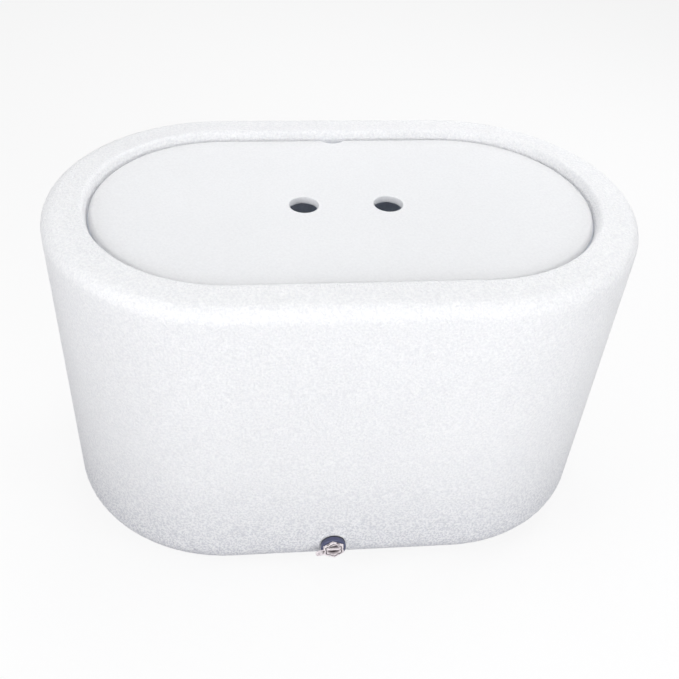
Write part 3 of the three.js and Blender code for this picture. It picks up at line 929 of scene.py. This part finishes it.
def rounded_bar(start, end, half_width, half_height, radius, count=48, end_rows=6):
    """A straight bar with a rectangular section and round edges: the section is carried from the
    start to the end, and drawn in over a quarter circle at both ends."""
    start, end = np.array(start), np.array(end)
    length = np.linalg.norm(end - start)
    along = (end - start) / length
    across = np.array([-along[1], along[0], 0])
    turn = np.linspace(0, 2 * pi, count, endpoint=False)
    fall = np.linspace(0, pi / 2, end_rows)
    drawn = radius * (1 - np.cos(fall))
    stations = np.concatenate([drawn, length - drawn[::-1]])[:, None, None]
    grow = radius * np.concatenate([np.sin(fall), np.sin(fall)[::-1]])[:, None]
    x = (half_width - radius) * np.sign(np.cos(turn)) + grow * np.cos(turn)
    y = (half_height - radius) * np.sign(np.sin(turn)) + grow * np.sin(turn)
    body = start + stations * along + x[..., None] * across + y[..., None] * (0, 0, 1)
    ends = [np.broadcast_to(end_point, (1, count, 3)) for end_point in (start, end)]
    return np.concatenate([ends[0], body, ends[1]]), False, True


bar_top = plug_front - 1.2 * mm
bar_level = (cup_floor - fit + bar_top) / 2
bar_end = cup_radius + 0.3 * mm
bar_half = 1.7 * mm
bar_edge = 0.6 * mm
bar_ends = (-bar_end, 0, bar_level), (bar_end, 0, bar_level)
grip = rounded_bar(*bar_ends, bar_half, bar_top - bar_level, bar_edge)
ear_angle = radians(198)
ear_way = np.array([cos(ear_angle), sin(ear_angle), 0])
ear_root = ear_way * 11.5 * mm
ear_end = ear_way * 19.5 * mm
ear_half = 1.1 * mm
ear_radius = 4 * mm
eye_radius = 1.5 * mm
ear_level = np.array([0, 0, (plug_back + plug_front) / 2])
neck = rounded_bar(ear_root + ear_level, ear_end + ear_level, ear_radius, ear_half, bar_edge)
disc = rounded(
    [
        (0, -ear_half, 0),
        (ear_radius, -ear_half, bar_edge),
        (ear_radius, ear_half, bar_edge),
        (0, ear_half, 0),
    ],
    step=2 * mm,
    arc_step=radians(15),
)
disc = moved(turned(disc, ring=False), *(ear_end + ear_level))
eye = moved(cutter((eye_radius, -2 * ear_half), (eye_radius, 2 * ear_half)), *(ear_end + ear_level))
parts = (surface("part", along_drain(part)) for part in (grip, neck, disc))
plug_mesh = combined(plug_mesh, "UNION", *parts)
plug_mesh = combined(plug_mesh, "DIFFERENCE", surface("eye", along_drain(eye)))

# Painted shade on the plug. A dark colour fills the groove, and darkens the recess from a little
# below the face down to its floor, where shade falls.
recess_shade_colour = (0.1, 0.075, 0.085)
unshaded_lip = 0.1 * mm
unshaded_depth = 1.6 * mm
full_shade_depth = 5 * mm
cup_margin = 0.1 * mm
points = np.zeros(len(plug_mesh.vertices) * 3)
plug_mesh.vertices.foreach_get("co", points)
x, y, z = points.reshape(-1, 3).T
out = np.hypot(x - drain_x, z - drain_z)
below = plug_front + boss_face + y
in_cup = out < cup_radius + cup_margin
in_groove = ~in_cup & (out < plug_flats / 2) & (below > unshaded_lip) & (below < groove_depth + touch)
# Painted shade mask: 1 in the groove, and growing with depth in the recess.
recess_shade = np.clip((below - unshaded_depth) / (full_shade_depth - unshaded_depth), 0, 1) * in_cup + in_groove
plug_mesh.attributes.new("recess_shade", "FLOAT", "POINT").data.foreach_set("value", recess_shade)
recess_shaded_nylon = white_nylon.copy()
recess_shaded_nylon.name = "recess_shaded_white_nylon"
depth = recess_shaded_nylon.node_tree.nodes.new("ShaderNodeAttribute")
depth.attribute_name = "recess_shade"
# The dark colour mixed in here is painted shade in the groove and the recess.
shaded_over(recess_shaded_nylon, depth, "Fac", recess_shade_colour)
assembled("plug", plug_mesh, "plug", recess_shaded_nylon, "drain_plug", sharp=radians(30))

# Rubber rings. Both have a round section and are moulded in one piece: one sits under the
# plug's head, one in the elbow's socket.
ring_gap = 0.15 * mm
ring_rows = 24
for name, node, inner, diameter in (
    ("plug_ring", "plug_seal", plug_thread_radius + ring_gap, 1.45 * mm),
    ("elbow_ring", "elbow_seal", tube_radius + ring_gap, 2 * mm),
):
    low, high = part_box(node)
    level = -(low.y + high.y) / 2 - boss_face
    turn = np.linspace(0, 2 * pi, ring_rows, endpoint=False)
    r = inner + diameter / 2 * (1 + np.cos(turn))
    section = np.column_stack([r, level + diameter / 2 * np.sin(turn)])
    mesh = surface(name, along_drain(turned(section, drain_columns)))
    assembled(name, mesh, node, black_rubber, node)

# Overflow elbow. Moulded PVC: a socket over the drain's inner end, a round knee and an upright
# socket for the pipe, both with a thick round lip.
pvc = moulded(
    "white_pvc",
    colour=(0.85, 0.85, 0.84),
    pits=(0.77, 0.775, 0.78),
    scales=(160, 1600, 20),
    shares=(0.3, 0.7),
    gloss=(0.2, 0.3),
    bump_depth=0.05 * mm,
    Coat_Weight=0.2,
)
elbow_low, elbow_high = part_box("overflow_elbow")
pipe_low, pipe_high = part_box("overflow_pipe")
ring_low, ring_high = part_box("elbow_seal")
pipe_y = (pipe_low.y + pipe_high.y) / 2
pipe_radius = (pipe_high.x - pipe_low.x) / 2
elbow_wall = 3.6 * mm
elbow_bore = 9.5 * mm
knee_edge = 1.5 * mm
lip_radius = 1.2 * mm
entry_edge = 0.6 * mm
step_edge = 0.8 * mm
knee_radius = 15.6 * mm
knee_bend = 18.5 * mm
socket_radius = tube_radius + fit
upright_radius = pipe_radius + fit
ring_groove_radius = 15.1 * mm
ring_groove_half = 1.15 * mm
mouth_y = elbow_low.y
bend_start = pipe_y - knee_bend - mouth_y
bend_end = bend_start + knee_bend * pi / 2
top_way = bend_end + elbow_high.z - drain_z - knee_bend
seat_way = top_way - (elbow_high.z - pipe_low.z + fit)
tube_way = -tube_inner_end - boss_face - mouth_y + fit
ring_way = (ring_low.y + ring_high.y) / 2 - mouth_y


def along_elbow(stops):
    """Carries circles along the elbow's line. Each stop is (way, radius), the way measured from
    the mouth on the drain through the bend, a quarter circle, to the top of the upright. At each
    stop the circle stands square to the line."""
    way, radius = stops.T
    bend = np.clip((way - bend_start) / knee_bend, 0, pi / 2)
    y = mouth_y + np.minimum(way, bend_start) + knee_bend * np.sin(bend)
    z = drain_z + knee_bend * (1 - np.cos(bend)) + np.maximum(way - bend_end, 0)
    angle = np.linspace(0, 2 * pi, drain_columns, endpoint=False)[:, None]
    x, side = drain_x + radius * np.cos(angle), radius * np.sin(angle)
    return np.stack([x, y - side * np.sin(bend), z + side * np.cos(bend)], axis=-1), True, True


elbow_section = loop(
    [
        (seat_way + 1 * mm, knee_radius, knee_edge),
        (seat_way + 4 * mm, upright_radius + elbow_wall, knee_edge),
        (top_way, upright_radius + elbow_wall, lip_radius),
        (top_way, upright_radius, step_edge),
        (seat_way, upright_radius, mould_edge),
        (seat_way, elbow_bore, step_edge),
        (tube_way, elbow_bore, step_edge),
        (tube_way, socket_radius, mould_edge),
        (ring_way + ring_groove_half, socket_radius, 0),
        (ring_way + ring_groove_half, ring_groove_radius, 0),
        (ring_way - ring_groove_half, ring_groove_radius, 0),
        (ring_way - ring_groove_half, socket_radius, 0),
        (0, socket_radius, entry_edge),
        (0, socket_radius + elbow_wall, lip_radius),
        (bend_start - 3 * mm, socket_radius + elbow_wall, knee_edge),
        (bend_start, knee_radius, knee_edge),
    ],
    step=1.5 * mm,
)
elbow_mesh = surface("elbow", along_elbow(elbow_section))
assembled("elbow", elbow_mesh, "overflow", pvc, "overflow_elbow")

# Overflow pipe. A plain length of PVC pipe, cut square, with its cut edges broken. It is
# pushed into the elbow's upright socket.
pipe_bore = pipe_radius - 2.9 * mm
cut_edge = 0.5 * mm
section = loop(
    [
        (pipe_radius, pipe_low.z, cut_edge),
        (pipe_radius, pipe_high.z, cut_edge),
        (pipe_bore, pipe_high.z, cut_edge),
        (pipe_bore, pipe_low.z, cut_edge),
    ],
    step=12 * mm,
)
mesh = surface("standpipe", moved(turned(section, drain_columns), drain_x, pipe_y, 0))
assembled("standpipe", mesh, "overflow", pvc, "overflow_pipe")

# Overflow cap. Moulded PVC, pushed over the pipe, with upright slots round its head that let
# water in and keep the bait out.
cap_low, cap_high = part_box("overflow_cap")
cap_radius = (cap_high.x - cap_low.x) / 2
cap_wall = 2.4 * mm
cap_seat = pipe_high.z + fit
head_bore = (pipe_radius + pipe_bore) / 2
cap_columns = 96
crown_edge = 3 * mm
skirt_edge = 0.7 * mm
skirt_inner_edge = 0.5 * mm
slot_count = 8
slot_width = 5 * mm
slot_height = 13 * mm
slot_edge = 1.6 * mm
section = rounded(
    [
        (0, cap_high.z, 0),
        (cap_radius, cap_high.z, crown_edge),
        (cap_radius, cap_low.z, skirt_edge),
        (cap_radius - cap_wall, cap_low.z, skirt_inner_edge),
        (cap_radius - cap_wall, cap_seat, 0),
        (head_bore, cap_seat, mould_edge),
        (head_bore, cap_high.z - cap_wall, knee_edge),
        (0, cap_high.z - cap_wall, 0),
    ],
    step=4 * mm,
    arc_step=radians(12),
)
grid = turned(section, cap_columns, ring=False)
cap_mesh = surface("strainer_cap", moved(grid, drain_x, pipe_y, 0))
slots = []
for index in range(slot_count):
    angle = 2 * pi * (index + 1 / 2) / slot_count
    way = np.array([cos(angle), sin(angle), 0])
    level = (0, 0, cap_seat + cap_wall + slot_height / 2)
    near, far = way * head_bore / 2 + level, way * 2 * cap_radius + level
    slot = rounded_bar(near, far, slot_width / 2, slot_height / 2, slot_edge)
    slots.append(surface("slot", moved(slot, drain_x, pipe_y, 0)))
cap_mesh = combined(cap_mesh, "DIFFERENCE", *slots)
assembled("strainer_cap", cap_mesh, "cap", pvc, "overflow_cap", sharp=radians(30))

# Lid. A thick, slightly translucent polyethylene sheet with its top edge rounded over, two
# finger holes, and a finger notch in its back edge, all with the round edge of the cutter. It
# lies loose on the liner's lip.
sheet_polyethylene = moulded(
    "white_polyethylene_sheet",
    colour=(0.975, 0.975, 0.98),
    pits=(0.91, 0.91, 0.92),
    scales=(330, 900, 7),
    shares=(0.35, 0.12),
    gloss=(0.48, 0.58),
    bump_depth=0.7 * mm,
    **waxy,
)
sheet_glow_share = 0.2
sheet_glow_tint = (0.92, 0.95, 1, 1)
tree = sheet_polyethylene.node_tree
through = tree.nodes.new("ShaderNodeBsdfTranslucent")
through.inputs["Color"].default_value = sheet_glow_tint
both = tree.nodes.new("ShaderNodeMixShader")
both.inputs["Fac"].default_value = sheet_glow_share
wired(
    tree,
    (tree.nodes["Principled BSDF"], 0, both, 1),
    (through, 0, both, 2),
    (both, 0, tree.nodes["Material Output"], "Surface"),
)
lid_radius = recess_radius - 1.5 * mm
lid_top = seat_height + 8.6 * mm
lid_crown = 0.7 * mm
lid_foot_edge = 0.6 * mm
lid_top_edge = 6.4 * mm
lid_columns = 36
finger_radius = 17.6 * mm
finger_spacing = 101.6 * mm
finger_offset = 2.4 * mm
notch_reach = 10.9 * mm
notch_offset = 3 * mm
cutter_edge = 0.9 * mm
cutter_rows = 7
section = rounded(
    [
        (0, seat_height, 0),
        (lid_radius, seat_height, lid_foot_edge),
        (lid_radius, lid_top, lid_top_edge),
        (lid_radius / 2, lid_top + lid_crown * 3 / 4, lid_radius / 2),
        (0, lid_top + lid_crown, 0),
    ],
    step=8 * mm,
    arc_step=radians(6),
)
grid = carried(section, np.linspace(-half_straight, half_straight, lid_columns))
lid_mesh = surface("lid_sheet", (grid, True, False))


def finger_cutter(top, x, y):
    """A cutter whose radius flares by a quarter circle at the lid's top and bottom faces, so that
    the hole that it leaves has round edges."""
    bend = np.linspace(0, pi / 2, cutter_rows)
    flare = finger_radius + cutter_edge * (1 - np.cos(bend))
    rise = cutter_edge * np.sin(bend)
    top_rows = zip(flare, top - cutter_edge + rise)
    bottom_rows = zip(flare[::-1], seat_height + cutter_edge - rise[::-1])
    widest = finger_radius + cutter_edge
    low, high = (widest, seat_height - hole_overrun), (widest, top + hole_overrun)
    return surface("finger", moved(cutter(low, *bottom_rows, *top_rows, high), x, y, 0))


notch_y = lid_radius - notch_reach + finger_radius
cutters = [
    finger_cutter(lid_top + lid_crown, finger_offset - finger_spacing / 2, 0),
    finger_cutter(lid_top + lid_crown, finger_offset + finger_spacing / 2, 0),
    finger_cutter(lid_top, notch_offset, notch_y),
]
lid_mesh = combined(lid_mesh, "DIFFERENCE", *cutters)
assembled(
    "lid_sheet", lid_mesh, "lid", sheet_polyethylene, "lid", sharp=radians(30)
)

boxes = {"cad": cad_box, "visual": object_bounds()}
boxes = {name: [list(corner) for corner in box] for name, box in boxes.items()}
